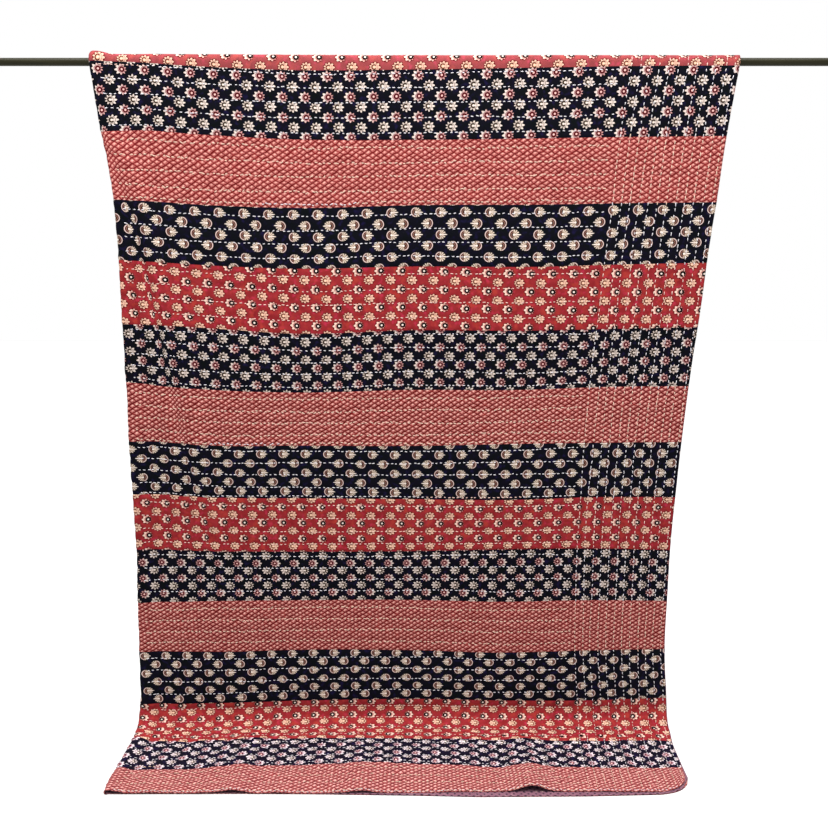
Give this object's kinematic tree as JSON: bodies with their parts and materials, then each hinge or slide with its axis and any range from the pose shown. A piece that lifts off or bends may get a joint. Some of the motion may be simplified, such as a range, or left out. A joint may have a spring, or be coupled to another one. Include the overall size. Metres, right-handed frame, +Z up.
{
  "type": "patchwork quilt hung over a rod",
  "caption": "Cotton patchwork quilt in printed strips, quilted by hand, folded in half lengthwise and hung over a round rod, its lower end lying on the ground.",
  "frame": {"origin": "the middle of the rod's axis", "axes": "+X along the rod to the right, the printed face looks along -Y, +Z up"},
  "size_m": [1.9, 0.4004, 1.6087],
  "materials": {
    "printed_cotton": "matte printed cotton strips in navy, red and coral, with running stitches",
    "mauve_cotton": "matte mauve cotton with navy spots",
    "rod_finish": "dark olive bronze, semi-gloss"
  },
  "bodies": {
    "root": {"quilt_top": "printed_cotton", "quilt_backing": "mauve_cotton", "rod": "rod_finish"}
  },
  "joints": []
}
